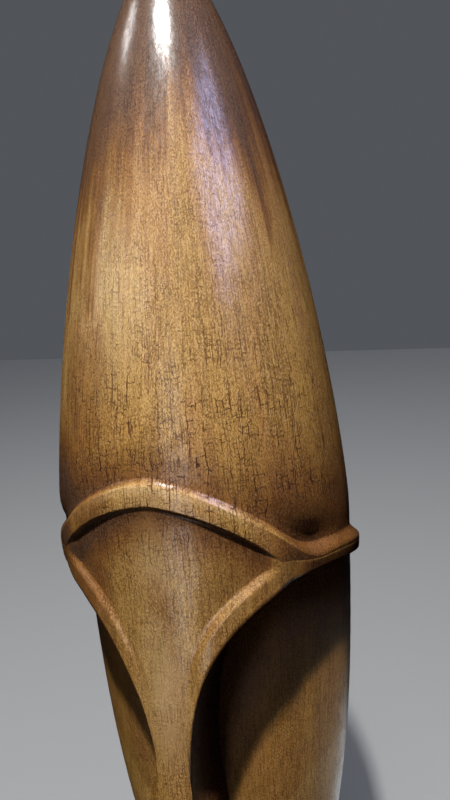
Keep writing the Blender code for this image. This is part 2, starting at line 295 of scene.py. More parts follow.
def carved_lines():
    """Azimuth and drop of each carved line at every column of one side, from top to bottom."""
    aside = (CORNER_AZIMUTH - CROWN_FOOT) * (1.0 - (1.0 - SIDE) ** CROWN_SPACING)
    azimuth = CROWN_FOOT * FOOT + aside + behind(CORNER_AZIMUTH)
    top = azimuth, band_top(azimuth)
    lip = azimuth, top[1] + mix(BAND_EDGE, WING_EDGE, smooth(azimuth, *WING_SOFT))
    band = top[1] + band_height(azimuth)
    brow_azimuth, drop = nostrils(*nose_line(NOSE_HALF_AZIMUTH, NOSE_TIP_DROP, NOSE_CORNER_AZIMUTH,
                                             wing_foot(NOSE_CORNER_AZIMUTH), NOSE_FLARE))
    brow = brow_azimuth, np.where(WING > 0.0, wing_foot(brow_azimuth), drop)
    arch_share = (band - top[1])[SIDE >= 1.0][0] / (brow[1] - top[1])[SIDE >= 1.0][0]
    arch = (np.where(WING > 0.0, mix(azimuth, brow_azimuth, arch_share), azimuth),
            np.where(WING > 0.0, mix(top[1], brow[1], arch_share), band))
    panel = arch[0], arch[1] + mix(BAND_FOOT, CORNER_FOOT, corner_share(azimuth))
    rim_azimuth, drop = nose_line(RIM_HALF_AZIMUTH, RIM_TIP_DROP, CORNER_AZIMUTH,
                                  RIM_CORNER_DROP, RIM_FLARE)
    rim = (np.where(WING > 0.0, mix(azimuth, brow_azimuth, RIM_SHARE), rim_azimuth),
           np.where(WING > 0.0, mix(top[1], brow[1], RIM_SHARE), drop))
    low_azimuth = np.dot(LOWER_AZIMUTHS, [FOOT, SIDE, WING])
    mouth = MOUTH_DROP - SIDE_LIFT * smooth(low_azimuth, LOWER_AZIMUTHS[0], 90.0)
    jaw = low_azimuth, np.full_like(low_azimuth, BROW_LEVEL - JAW_LEVEL)
    return dict(top=top, lip=lip, arch=arch, panel=panel, rim=rim, brow=brow, jaw=jaw,
                lips_top=(low_azimuth, mouth - LIP_HEIGHT), lips_foot=(low_azimuth, mouth + LIP_HEIGHT))


line = carved_lines()
print("carved lines:", ", ".join(line))

# %% [markdown]
# ## Depths between the lines
# Each stretch between two lines was cut to its own depth. The wood above the band is dished a
# little, most of all in the valley at the temple. The band and wings keep the log's own surface and
# a little more. The panel lies nearly 3 mm deeper and comes forward again down the nose.

# %% Radii of the crown, the band and the face
BAND_PROUD = 0.0003
BAND_SWELL = 0.0004
WING_PROUD = 0.0043
WING_RISE = (55.0, 90.0)
WING_FADE = (100.0, 135.0)
BROW_HOLLOW = 0.0012
BROW_HOLLOW_FADE = (50.0, 80.0)
TEMPLE_HOLLOW = 0.0034
TEMPLE_AZIMUTH = 57.0
TEMPLE_WIDTH = 11.0
HOLLOW_HEIGHT = 0.009
SHIELD_RADIUS = 0.0714
SHIELD_DROP = 0.025
CORNER_RISE = 0.0026
CORNER_SWELL = (22.0, 50.0)
CORNER_BLEND = (34.0, 44.0)
NOSE_TIP_RADIUS = 0.0730


def crown_radius(azimuth, drop):
    """The log less two dishes, a shallow one along the band and a bell at the temple."""
    dish = BROW_HOLLOW * (1.0 - smooth(azimuth, *BROW_HOLLOW_FADE))
    dish = dish + TEMPLE_HOLLOW * bump(azimuth - TEMPLE_AZIMUTH, TEMPLE_WIDTH)
    return log_radius(BROW_LEVEL - drop) - dish * bump(drop - band_top(azimuth), HOLLOW_HEIGHT)


def band_share(azimuth, drop):
    """Distance below the band's upper edge over the band's height there, clipped to 0 and 1."""
    wing = wing_foot(azimuth) - band_top(azimuth)
    height = mix(band_height(azimuth), wing, smooth(azimuth, *CORNER_BLEND))
    return np.clip((drop - band_top(azimuth)) / height, 0.0, 1.0)


def brow_radius(azimuth, drop):
    """The log plus the band's height and a parabola across it, faded out towards the back."""
    share = band_share(azimuth, drop)
    proud = mix(BAND_PROUD, WING_PROUD, smooth(azimuth, *WING_RISE)) + BAND_SWELL * parabola(share)
    return log_radius(BROW_LEVEL - drop) + proud * (1.0 - smooth(azimuth, *WING_FADE))


def face_radius(azimuth, drop):
    """The panel's round, rising to the nose's tip and to the corners, rounded under at the tip."""
    rise = (NOSE_TIP_RADIUS - SHIELD_RADIUS) * smooth(drop, SHIELD_DROP, NOSE_TIP_DROP)
    tip = NOSE_TIP_ROUND * smooth(drop, NOSE_TIP_DROP - NOSE_TIP_SLOPE, NOSE_TIP_DROP + NOSE_TIP_ROUND)
    face = SHIELD_RADIUS + rise - tip + CORNER_RISE * smooth(azimuth, *CORNER_SWELL)
    return mix(face, brow_radius(azimuth, drop), smooth(azimuth, *CORNER_BLEND))


print("panel lies", round((float(log_radius(BROW_LEVEL)) - SHIELD_RADIUS) * 1000, 1), "mm under the log")

# %% [markdown]
# ## Cheeks, mouth, chin and neck
# The cheeks are cut far back, so that the nose stands some 35 mm proud of them. Level by level each
# is an arc of a circle of its own, set aside and back from the middle. The mouth and the chin are
# bells on a soft ridge, and below the jaw the head closes onto a plain neck with a flared foot.

# %% Radii of the lower face
NECK_RADIUS = 0.038
FOOT_RADIUS = 0.046
FOOT_HEIGHT = 0.030
CHEEK_ROUND = 0.82
CHEEK_ASIDE = 0.245
CHEEK_BACK = 0.335
CHEEK_EDGE = 0.004
MOUTH_HALF = 0.020
LIP_RISE = 0.0045
LIP_SPACING = 0.00425
LIP_ROUND = 0.00323
MUZZLE_RISE = 0.018
CHIN_DROP = 0.250
CHIN_RISE = 0.027
RIDGE_HALF = 0.027
JAW_ROUND = 0.009


def cheek_circle(drop):
    """A cheek's arc at each level, as shares of the log: distance aside, distance back, radius."""
    log = log_radius(BROW_LEVEL - drop)
    return CHEEK_ASIDE * log, CHEEK_BACK * log, CHEEK_ROUND * log


def cheek_radius(azimuth, drop):
    """Where a ray from the axis leaves the cheek's circle, plus the ridge of muzzle, lips and chin."""
    angle = np.radians(azimuth)
    aside, back, arc = cheek_circle(drop)
    along = aside * np.sin(angle) - back * np.cos(angle)
    cut = along + np.sqrt(arc ** 2 - aside ** 2 - back ** 2 + along ** 2)
    cheek = soft_least(log_radius(BROW_LEVEL - drop), cut, CHEEK_EDGE)
    across = cheek * np.sin(np.minimum(angle, np.pi / 2.0))
    muzzle = MUZZLE_RISE * smooth(drop, NOSE_TIP_DROP, MOUTH_DROP)
    chin = (CHIN_RISE - MUZZLE_RISE) * smooth(drop, MOUTH_DROP, CHIN_DROP)
    under = 1.0 - smooth(drop, CHIN_DROP, BROW_LEVEL - JAW_LEVEL)
    ridge = (muzzle + chin) * under * bump(across, RIDGE_HALF)
    lips = sum(bump(drop - MOUTH_DROP + side * LIP_SPACING, LIP_ROUND) for side in (-1.0, 1.0))
    return cheek + ridge + LIP_RISE * lips * np.clip(1.0 - (across / MOUTH_HALF) ** 2, 0.0, 1.0)


def jaw_radius(azimuth, drop):
    """The larger of the head and the neck, rounded where they meet; the foot flares as a square."""
    flare = np.clip(1.0 - (BROW_LEVEL - drop) / FOOT_HEIGHT, 0.0, 1.0) ** 2
    neck = NECK_RADIUS + (FOOT_RADIUS - NECK_RADIUS) * flare
    return -soft_least(-cheek_radius(azimuth, drop), -neck, JAW_ROUND)


print("cheek under the brow is", round(float(cheek_radius(60.0, 0.06)) * 1000, 1), "mm from the axis")

# %% [markdown]
# ## Rows from line to line
# Now the rows are filled in. Between two lines a row is a straight mix of them, and its radius comes
# from that stretch's own depth. The cut behind a rim is the exception: a chisel driven straight back
# leaves a flat side, so its rows are straight lines in plan and not curves round the axis.

# %% Rows between lines and rows of the cut
CROWN_ROWS = 74
EDGE_ROWS = 7
BAND_ROWS = 18
SHIELD_ROWS = 44
RIM_ROWS = 30
CLIFF_ROWS = 14
CHEEK_ROWS = 36
LIP_ROWS = 24
JAW_ROWS = 32
NECK_ROWS = 22
RIM_RISE = 0.0021
RIM_GROOVE = 0.0006
RIM_CREST = 0.3
CREST_FALL = 0.2
NOSE_EDGE = 0.0022
NOSE_ROLL = (0.3, 0.7)
RIM_FADE = (0.25, 0.60)
NOSE_UNDERCUT = 0.005
CLIFF_SPREAD = 0.0025
CLIFF_TURN = (10.0, 60.0)
HOLLOW_LEAST = 0.3


def rows_between(above, below, count, surface, ease=1.0):
    """Rows from one line to the next, without the first, with t raised to the power of ease."""
    steps = (np.arange(1, count + 1) / count)[:, None] ** ease
    azimuth, drop = mix(above[0], below[0], steps), mix(above[1], below[1], steps)
    return np.stack([azimuth, drop, surface(azimuth, drop, steps)], axis=1)


def hollow_line(edge):
    """Foot of the cut behind the rim: the same distance aside where it meets the cheek's circle."""
    azimuth, drop, radius = edge
    drop = drop + NOSE_UNDERCUT * (1.0 - SIDE) ** NOSE_FOOT_CURVE
    aside, back, arc = cheek_circle(drop)
    across = radius * np.sin(np.radians(azimuth)) + CLIFF_SPREAD * FOOT
    depth = back - np.sqrt(np.maximum(arc ** 2 - (across - aside) ** 2, (HOLLOW_LEAST * arc) ** 2))
    straight = np.degrees(np.arctan2(across, -depth))
    return mix(straight, azimuth, smooth(azimuth, *CLIFF_TURN)), drop


def cliff_rows(edge, foot):
    """Straight lines in plan from the rim's edge back to the foot, as azimuth, drop and radius."""
    t = (np.arange(1, CLIFF_ROWS + 1) / CLIFF_ROWS)[:, None]
    (side_a, side_b), (front_a, front_b) = [[row[2] * turn(np.radians(row[0])) for row in (edge, foot)]
                                            for turn in (np.sin, np.cos)]
    side, front = mix(side_a, side_b, t), mix(front_a, front_b, t)
    azimuth, radius = np.degrees(np.arctan2(side, front)), np.hypot(side, front)
    return np.stack([azimuth, mix(edge[1], foot[1], t), radius], axis=1)


print("rows above the cut:", CROWN_ROWS + 2 * EDGE_ROWS + BAND_ROWS + SHIELD_ROWS + RIM_ROWS)

# %% [markdown]
# ## The rims and the whole side
# A carver's edge is never razor sharp, because sanding and varnish round it. So the steps above and
# below the band are S curves, and a rim rolls over in a quarter ellipse before the cut goes straight
# back. Its crest fades out down the nose and at the corner, by a strength for each column. Then all
# stretches are joined, from the point of the head to the foot.

# %% All rows of one side
rim_share = smooth(SIDE, *RIM_FADE)
rim_strength = rim_share * (1.0 - smooth(line["rim"][0], *CORNER_BLEND))
roll_start = mix(*NOSE_ROLL, rim_share)


def rim_radius(azimuth, drop, t):
    """The face plus a crest that rises by an S curve, then rolls off the edge in a quarter ellipse."""
    crest = RIM_RISE * smooth(t, 0.0, RIM_CREST) * (1.0 - CREST_FALL * t) - RIM_GROOVE * (1.0 - t)
    roll = np.clip((t - roll_start) / (1.0 - roll_start), 0.0, 1.0)
    return face_radius(azimuth, drop) + rim_strength * crest - NOSE_EDGE * (1.0 - np.sqrt(1.0 - roll ** 2))


tip = line["top"][0], np.full_like(FOOT, BROW_LEVEL - HEIGHT)
floor_line = line["jaw"][0], np.full_like(FOOT, BROW_LEVEL)
stretches = [
    rows_between(tip, line["top"], CROWN_ROWS, lambda a, d, t: crown_radius(a, d), 1.3),
    rows_between(line["top"], line["lip"], EDGE_ROWS,
                 lambda a, d, t: mix(crown_radius(a, d), brow_radius(a, d), smooth(t, 0.0, 1.0))),
    rows_between(line["lip"], line["arch"], BAND_ROWS,
                 lambda a, d, t: brow_radius(a, d)),
    rows_between(line["arch"], line["panel"], EDGE_ROWS,
                 lambda a, d, t: mix(brow_radius(a, d), face_radius(a, d), smooth(t, 0.0, 1.0))),
    rows_between(line["panel"], line["rim"], SHIELD_ROWS,
                 lambda a, d, t: face_radius(a, d) - RIM_GROOVE * rim_strength * smooth(t, RIM_CREST, 1.0)),
    rows_between(line["rim"], line["brow"], RIM_ROWS, rim_radius),
]
edge = stretches[-1][-1]
hollow = hollow_line(edge)
stretches += [
    cliff_rows(edge, hollow + (cheek_radius(*hollow),)),
    rows_between(hollow, line["lips_top"], CHEEK_ROWS, lambda a, d, t: cheek_radius(a, d), 0.9),
    rows_between(line["lips_top"], line["lips_foot"], LIP_ROWS, lambda a, d, t: cheek_radius(a, d)),
    rows_between(line["lips_foot"], line["jaw"], JAW_ROWS, lambda a, d, t: jaw_radius(a, d), 1.15),
    rows_between(line["jaw"], floor_line, NECK_ROWS, lambda a, d, t: jaw_radius(a, d), 0.9),
]
rows = np.concatenate(stretches)
print("rows:", len(rows), "each with", rows.shape[2], "columns")

# %% [markdown]
# ## From half a grid to a closed skin
# The other half of the face is the mirror image, so each row is copied across and run round into a
# ring. A fan closes the point of the head and one flat face closes the foot. The points go into the
# mesh as whole arrays, which is far quicker than adding them one by one.

# %% The mesh
def ring_points(rows):
    """Azimuth, drop and radius turned to x, y, z, then the mirror image joined on behind."""
    azimuth, drop, radius = np.transpose(rows, (1, 0, 2))
    angle = np.radians(azimuth)
    side = np.stack([radius * np.sin(angle), -radius * np.cos(angle), BROW_LEVEL - drop], axis=2)
    side[:, (0, -1), 0] = 0.0
    return np.concatenate([side, side[:, -2:0:-1] * (-1.0, 1.0, 1.0)], axis=1)


def closed_faces(count, around):
    """Quads between rings, a fan of triangles at the point, and the last ring as one flat face."""
    ring = np.arange(around)
    after = np.roll(ring, -1)
    start = 1 + around * np.arange(count - 1)[:, None]
    quads = np.stack([start + ring, start + around + ring, start + around + after, start + after], axis=2)
    fan = np.stack([np.zeros_like(ring), 1 + ring, 1 + after], axis=1)
    foot = 1 + (count - 1) * around + ring[::-1]
    return quads.reshape(-1, 4), fan, foot


def skin_mesh(name, points, quads, fan, foot):
    """A mesh from arrays: corners in one long list, with each face's first corner."""
    corners = np.concatenate([quads.ravel(), fan.ravel(), foot])
    sizes = np.concatenate([np.full(len(quads), 4), np.full(len(fan), 3), [len(foot)]])
    mesh = bpy.data.meshes.new(name)
    mesh.vertices.add(len(points))
    mesh.vertices.foreach_set("co", points.ravel())
    mesh.loops.add(len(corners))
    mesh.loops.foreach_set("vertex_index", corners)
    mesh.polygons.add(len(sizes))
    mesh.polygons.foreach_set("loop_start", np.concatenate([[0], np.cumsum(sizes)[:-1]]))
    mesh.update(calc_edges=True)
    mesh.shade_smooth()
    mesh.set_sharp_from_angle(angle=np.radians(60.0))
    return mesh


rings = ring_points(rows)
points = np.concatenate([[(0.0, 0.0, HEIGHT)], rings.reshape(-1, 3)])
quads, fan, foot = closed_faces(*rings.shape[:2])
mesh = skin_mesh("carved_face", points, quads, fan, foot)
face = bpy.data.objects.new("carved_face", mesh)
bpy.context.scene.collection.objects.link(face)
print("triangles:", 2 * len(quads) + len(fan) + len(foot) - 2, "needed mending:", mesh.validate())

# %% [markdown]
# ## Coordinates for the finish
# Wood has its grain all through it, so its pattern can be read from the place in the block. On this
# piece the brushed stain and the fibres close up towards the point, as the outline does, so the
# place is first widened there as if the log were a straight cylinder. The crackle sits in the
# varnish instead, which is a skin, so it is read from a flat map: the way round and the way up.

# %% Place in the grain and place on the skin
azimuth, drop, radius = np.transpose(rows, (1, 0, 2))
LOG_LEAST = 0.004


def both_sides(values, at_point):
    """The value at the point of the head, then every row of one side with its mirror image."""
    return np.concatenate([[at_point], np.concatenate([values, values[:, -2:0:-1]], axis=1).ravel()])


def store_numbers(name, values):
    """Keeps one number for each point of the mesh under a name that a material can read."""
    layer = mesh.attributes.new(name, "FLOAT", "POINT")
    layer.data.foreach_set("value", np.asarray(values, dtype=np.float32))
    print(name, "from", round(float(values.min()), 3), "to", round(float(values.max()), 3))


def store_grain_place():
    """The place in the block, with x and y times the girth's radius over the log's, above the girth."""
    z = points[:, 2]
    widen = np.where(z > GIRTH_LEVEL, GIRTH_RADIUS / np.maximum(log_radius(z), LOG_LEAST), 1.0)
    place = points * np.stack([widen, widen, np.ones_like(z)], axis=1)
    layer = mesh.attributes.new("grain_place", "FLOAT_VECTOR", "POINT")
    layer.data.foreach_set("vector", place.ravel().astype(np.float32))


def store_skin_map():
    """Map in metres: azimuth times the girth's radius, minus on the left side, and height."""
    around = rings.shape[1]
    half = azimuth.shape[1]
    corner_point = np.empty(len(mesh.loops), dtype=np.int64)
    mesh.loops.foreach_get("vertex_index", corner_point)
    face_of_corner = np.concatenate([np.repeat(np.arange(len(quads)), 4),
                                     np.repeat(len(quads) + np.arange(len(fan)), 3),
                                     np.full(len(foot), -1)])
    first_column = np.where(face_of_corner < len(quads),
                            face_of_corner % around, face_of_corner - len(quads))
    side = np.where(first_column < half - 1, 1.0, -1.0)
    side[face_of_corner < 0] = 1.0
    turned = np.radians(both_sides(azimuth, 0.0))[corner_point] * side * GIRTH_RADIUS
    place = np.stack([turned, points[corner_point, 2]], axis=1)
    skin = mesh.uv_layers.new(name="skin")
    skin.data.foreach_set("uv", place.ravel().astype(np.float32))


store_grain_place()
store_skin_map()

# %% [markdown]
# ## Where the stain and the painted shade gather
# The maker rubbed dark stain over the wood and wiped it off, and it stays in the corner above the
# brow band. The same mask paints shade where light reaches less: in that corner too, under the arch,
# on the wings, in the cuts behind the rims and on the cheeks below them, in the mouth's line, under
# the chin and the jaw and at the foot. A mask could be painted by hand, but here it follows from the
# grid itself, because each stretch of rows knows how far it is from its carved lines.

# %% Mask of stain and painted shade
CROWN_STAIN_AND_SHADE = 0.020
TEMPLE_STAIN_AND_SHADE = 0.040
STAIN_AND_SHADE_LINE = 0.006
UNDER_ARCH_FALL = 0.015
LIP_LINE = 0.0015
LIP_RADIUS = 0.060
JAW_SHADE = 0.012
ARCH_END = (36.0, 44.0)
WING_SHADE = (46.0, 60.0)


def stretch_numbers(*functions):
    """One mask from a function for each stretch, of azimuth, drop and the share t of the way down it."""
    parts = []
    for rows_of, function in zip(stretches, functions):
        t = (np.arange(1, len(rows_of) + 1) / len(rows_of))[:, None]
        parts.append(np.broadcast_to(function(rows_of[:, 0], rows_of[:, 1], t), rows_of[:, 0].shape))
    return np.concatenate(parts)


def corner_stain_and_shade(azimuth, drop, t):
    """Stain with painted shade: a bell above the band, higher at the temples than at the arch's crown, over
    a thin line in the crease.
    """
    above = np.maximum(band_top(azimuth) - drop, 0.0)
    wide = bump(above, mix(CROWN_STAIN_AND_SHADE, TEMPLE_STAIN_AND_SHADE, smooth(azimuth, 10.0, 45.0)))
    strength = mix(0.34, 0.74, smooth(azimuth, 26.0, 56.0)) * mix(1.0, 0.4, smooth(azimuth, *WING_FADE))
    return wide * strength + 0.2 * np.exp(-above / STAIN_AND_SHADE_LINE)


def panel_stain_and_shade(azimuth, drop, t):
    """The larger of an exponential down from the arch, painted shadow with a little stain, and a painted
    shade that grows towards the sides.
    """
    under = np.maximum(drop - band_top(azimuth) - band_height(azimuth), 0.0)
    under_arch_stain_and_shade = np.exp(-under / UNDER_ARCH_FALL) * 1.05 * (1.0 - smooth(azimuth, *ARCH_END))
    aside = 0.32 * smooth(azimuth, 9.0, 26.0) * mix(1.0, 2.2, smooth(azimuth, *WING_SHADE))
    return np.maximum(under_arch_stain_and_shade, aside)


def nose_stain_and_shade(azimuth, drop, t):
    """A little stain, darker on the upper rims, plus painted shade: an S curve over the outer edge, weaker
    low on the nose, and more on the wings.
    """
    edge = smooth(t, 0.7, 1.0) * mix(0.9, 0.6, smooth(drop, 0.045, 0.085))
    on_rim = 0.15 * (1.0 - smooth(drop, 0.055, 0.085))
    return 0.12 + on_rim + edge + 0.75 * smooth(azimuth, *WING_SHADE)


def cheek_stain_and_shade(azimuth, drop, t):
    """Painted shade, full at the foot of the cut; a quarter of it, as stain, from two fifths of the way
    down; none at the back.
    """
    return (0.26 + 0.74 * (1.0 - smooth(t, 0.05, 0.45))) * (1.0 - smooth(azimuth, 75.0, 120.0))


def lip_and_chin_shade(azimuth, drop, t):
    """Painted shade: a thin line between the lips and a soft shade under the chin."""
    across = LIP_RADIUS * np.radians(azimuth)
    mouth = 0.7 * bump(drop - MOUTH_DROP, LIP_LINE) * np.clip(1.0 - (across / MOUTH_HALF) ** 2, 0.0, 1.0)
    return mouth + 0.45 * bump(drop - (BROW_LEVEL - JAW_LEVEL), JAW_SHADE)


# Stretch by stretch: crown, step above the band, band, step under the arch, panel, rims, cut, cheeks, lips,
# chin, neck. Besides stain, this paints shade in the crease at the band's top edge and in the valley, on
# the band towards the temples, under the arch's step, in the cut behind the rims, under the jaw and at the
# foot.
stain_and_shade = stretch_numbers(
    corner_stain_and_shade,
    lambda a, d, t: 0.55 * (1.0 - t) + 0.75 * t * smooth(a, 38.0, 58.0),
    lambda a, d, t: 0.12 + (0.75 + 0.25 * t) * smooth(a, 30.0, 56.0),
    lambda a, d, t: 0.2 + 0.5 * t * (1.0 - smooth(a, *ARCH_END)),
    panel_stain_and_shade,
    nose_stain_and_shade,
    lambda a, d, t: 0.6 + 0.4 * t,
    cheek_stain_and_shade,
    lip_and_chin_shade,
    lip_and_chin_shade,
    lambda a, d, t: 0.45 * (1.0 - smooth(t, 0.0, 0.25)) + 0.5 * smooth(t, 0.93, 1.0),
)
store_numbers("stain_and_shade", both_sides(stain_and_shade, 1.0))

# %% [markdown]
# ## Where the finish is worn, and a painted sheen
# Hands and dusting rub what stands out: the upper edge of the arch, the middle of the panel and of
# the upper nose, and faintly the crests of the rims. The wood shows paler there. The same paleness
# also paints a sheen along the arch's upper edge and down the middle of the band, panel and nose.
# This mask is kept apart from the stain.

# %% Mask of wear and painted sheen
ARCH_WEAR_AND_SHEEN = (26.0, 42.0)
BAND_WEAR_AND_SHEEN = 9.0
NOSE_WEAR_AND_SHEEN = 7.0
NOSE_WEAR_AND_SHEEN_FADE = (0.08, 0.13)
CREST_WEAR_AND_SHEEN = 0.16


def nothing(azimuth, drop, t):
    """Zero everywhere."""
    return 0.0


def rim_wear_and_sheen(azimuth, drop, t):
    """Wear and painted sheen: a faint bell on the rim's crest, plus a bell round the nose's middle that
    fades down the nose.
    """
    crest = 0.1 * bump(t - RIM_CREST, CREST_WEAR_AND_SHEEN) * rim_strength
    return crest + bump(azimuth, NOSE_WEAR_AND_SHEEN) * (1.0 - smooth(drop, *NOSE_WEAR_AND_SHEEN_FADE))


# Partly wear, partly painted sheen: the arch's upper edge and the band's middle, the panel's middle, and
# the rims and nose.
wear_and_sheen = stretch_numbers(
    nothing,
    lambda a, d, t: 0.7 * smooth(t, 0.3, 1.0) * (1.0 - smooth(a, *ARCH_WEAR_AND_SHEEN)),
    lambda a, d, t: (0.7 * (1.0 - smooth(t, 0.1, 0.5)) * (1.0 - smooth(a, *ARCH_WEAR_AND_SHEEN))
                     + 0.5 * bump(a, BAND_WEAR_AND_SHEEN)),
    nothing,
    lambda a, d, t: bump(a, NOSE_WEAR_AND_SHEEN),
    rim_wear_and_sheen,
    nothing, nothing, nothing, nothing, nothing,
)
store_numbers("wear_and_sheen", both_sides(wear_and_sheen, 0.0))

# %% [markdown]
# ## A small language for materials
# A material is a network of nodes. Laid out by hand, a formula of five sums and products takes five
# boxes and a page of wires. One small class holds a node's output and turns Python's own signs into
# those boxes, so that a finish can be written as it is thought of. Colours are blended by Mix nodes.

# %% Values that write nodes
class Value:
    """An output socket. Sums, differences and products of values add Math nodes."""

    def __init__(self, finish, socket):
        self.finish, self.socket = finish, socket

    def maths(self, operation, first, second):
        """One Math node on two numbers or values."""
        return self.finish.make("ShaderNodeMath", dict(operation=operation), {0: first, 1: second})

    def __add__(self, other):
        return self.maths("ADD", self, other)

    def __sub__(self, other):
        return self.maths("SUBTRACT", self, other)

    def __rsub__(self, other):
        return self.maths("SUBTRACT", other, self)

    def __mul__(self, other):
        return self.maths("MULTIPLY", self, other)

    __radd__, __rmul__ = __add__, __mul__

    def __abs__(self):
        return self.maths("ABSOLUTE", self, 0.0)

    def least(self, other):
        """The smaller of two values."""
        return self.maths("MINIMUM", self, other)

    def most(self, other):
        """The larger of two values."""
        return self.maths("MAXIMUM", self, other)

    def ramp(self, low, high):
        """An S curve of the value, from 0 at low to 1 at high."""
        return self.finish.make("ShaderNodeMapRange", dict(interpolation_type="SMOOTHSTEP"),
                                {"Value": self, "From Min": low, "From Max": high})


class Finish:
    """A material whose nodes are made one by one: kind, settings, then values or links of sockets."""

    def __init__(self, name):
        self.material = bpy.data.materials.new(name)
        self.material.use_nodes = True
        self.tree = self.material.node_tree
        self.shader = self.tree.nodes["Principled BSDF"]

    def make(self, kind, settings, inputs, output=0):
        """Adds a node, sets it, fills its sockets, and returns one of its outputs."""
        node = self.tree.nodes.new(kind)
        for key, value in settings.items():
            setattr(node, key, value)
        for key, value in inputs.items():
            self.put(node.inputs[key], value)
        return Value(self, node.outputs[output])

    def put(self, socket, value):
        """Links a value to a socket, or sets the socket to a number or colour."""
        if isinstance(value, Value):
            self.tree.links.new(value.socket, socket)
        else:
            socket.default_value = value

    def add_shader(self, colour, share):
        """Mixes a second Principled shader of the same colour over the first, and returns it."""
        second = self.tree.nodes.new("ShaderNodeBsdfPrincipled")
        self.put(second.inputs["Base Color"], colour)
        both = self.make("ShaderNodeMixShader", {}, {0: share})
        self.tree.links.new(self.shader.outputs[0], both.socket.node.inputs[1])
        self.tree.links.new(second.outputs[0], both.socket.node.inputs[2])
        self.tree.links.new(both.socket, self.tree.nodes["Material Output"].inputs["Surface"])
        return second

    def blend(self, first, second, share, kind="MIX"):
        """A Mix node on two colours."""
        return self.make("ShaderNodeMix", dict(data_type="RGBA", blend_type=kind, clamp_factor=True),
                         {0: share, 6: first, 7: second}, output=2)

    def noise(self, place, scale, detail=3.0, roughness=0.55):
        """Soft noise about 0.5, with its own scale along x, y and z in waves for each metre."""
        scaled = self.make("ShaderNodeVectorMath", dict(operation="MULTIPLY"), {0: place, 1: scale})
        return self.make("ShaderNodeTexNoise", dict(noise_dimensions="3D"),
                         {"Vector": scaled, "Scale": 1.0, "Detail": detail, "Roughness": roughness})

    def part(self, vector, axis):
        """One coordinate of a vector: 0, 1 or 2."""
        return self.make("ShaderNodeSeparateXYZ", {}, {"Vector": vector}, output=axis)


print("ways to join values:", [name for name in vars(Value) if callable(getattr(Value, name))])

# %% [markdown]
# ## Grain
# The wood is straight-grained, so its streaks are noise drawn out along the height: broad ones where
# the stain took unevenly, narrow ones for the fibres, and very fine ones for the open pores. Three
# noises at three widths look like wood because no single width repeats. Soft clouds and a slow
# change of hue lie over them, and threads will break up the shine of the varnish.

# %% Streaks, fibres, pores and threads
varnished_wood = Finish("varnished_wood")
grain_place = varnished_wood.make("ShaderNodeAttribute", dict(attribute_name="grain_place"), {}, output=1)
streaks = varnished_wood.noise(grain_place, (150.0, 150.0, 6.0))
fibres = varnished_wood.noise(grain_place, (900.0, 900.0, 60.0), detail=4.0, roughness=0.7)
solid_place = varnished_wood.make("ShaderNodeTexCoord", {}, {}, output=3)
pores = varnished_wood.noise(solid_place, (1900.0, 1900.0, 1000.0), roughness=0.85)
clouds = varnished_wood.noise(grain_place, (34.0, 34.0, 16.0))
hue = varnished_wood.noise(grain_place, (75.0, 75.0, 14.0), detail=2.0).ramp(0.42, 0.60)
threads = varnished_wood.noise(solid_place, (750.0, 750.0, 110.0), roughness=0.7).ramp(0.42, 0.58)
print("nodes for the grain:", len(varnished_wood.tree.nodes))

# %% [markdown]
# ## Crackle
# Old varnish splits along the fibres and here and there steps across them. That is the pattern of
# the joints between long narrow boards, each row of them shifted by a length of its own. The rows
# wander with the grain, and a soft noise heals most of the joints, so that short pieces remain.
# A wide crackle and a fine one lie over each other, the fine one in patches.

# %% Two sizes of crackle
def board_joints(finish, skin, width, length, gap):
    """Joints of upright boards, sizes in metres. Rows wander, and a random share of length shifts each."""
    wander = finish.noise(skin, (160.0, 45.0, 1.0), detail=2.0) - 0.5
    ragged = finish.noise(skin, (1500.0, 300.0, 1.0), detail=2.0) - 0.5
    across = finish.part(skin, 0) + wander * 0.006 + ragged * 0.0006
    row = finish.make("ShaderNodeMath", dict(operation="FLOOR"), {0: across * (1.0 / width)})
    shift = finish.make("ShaderNodeTexWhiteNoise", dict(noise_dimensions="1D"), {"W": row})
    along = finish.part(skin, 1) + shift * length + ragged * 0.003
    place = finish.make("ShaderNodeCombineXYZ", {}, {"X": along, "Y": across})
    return finish.make("ShaderNodeTexBrick", dict(offset=0.0, squash=1.0),
                       {"Vector": place, "Scale": BOARD_SCALE, "Brick Width": length * BOARD_SCALE,
                        "Row Height": width * BOARD_SCALE, "Mortar Size": gap * BOARD_SCALE,
                        "Mortar Smooth": 0.6}, output=1)


# The Brick node's sizes can't be as small as these in metres, so all of them are scaled up.
BOARD_SCALE = 400.0
WIDE_BOARDS = (0.0034, 0.0055, 0.00026)
FINE_BOARDS = (0.0015, 0.0022, 0.00023)
skin = varnished_wood.make("ShaderNodeUVMap", dict(uv_map="skin"), {})
height = varnished_wood.part(grain_place, 2)
crazed = (1.0 - height.ramp(0.400, 0.480) * 0.7) * (0.3 + 0.7 * height.ramp(0.320, 0.372))
wide_left = varnished_wood.noise(skin, (170.0, 90.0, 1.0)).ramp(0.47, 0.58)
fine_left = varnished_wood.noise(skin, (420.0, 140.0, 1.0)).ramp(0.40, 0.56)
patches = varnished_wood.noise(skin, (60.0, 40.0, 1.0), detail=2.0).ramp(0.38, 0.60)
wide = board_joints(varnished_wood, skin, *WIDE_BOARDS) * wide_left
fine = board_joints(varnished_wood, skin, *FINE_BOARDS) * fine_left
cracks = (wide * crazed).most(fine * (0.50 + 0.35 * crazed) * (0.35 + 0.65 * patches))
print("nodes with the crackle:", len(varnished_wood.tree.nodes))

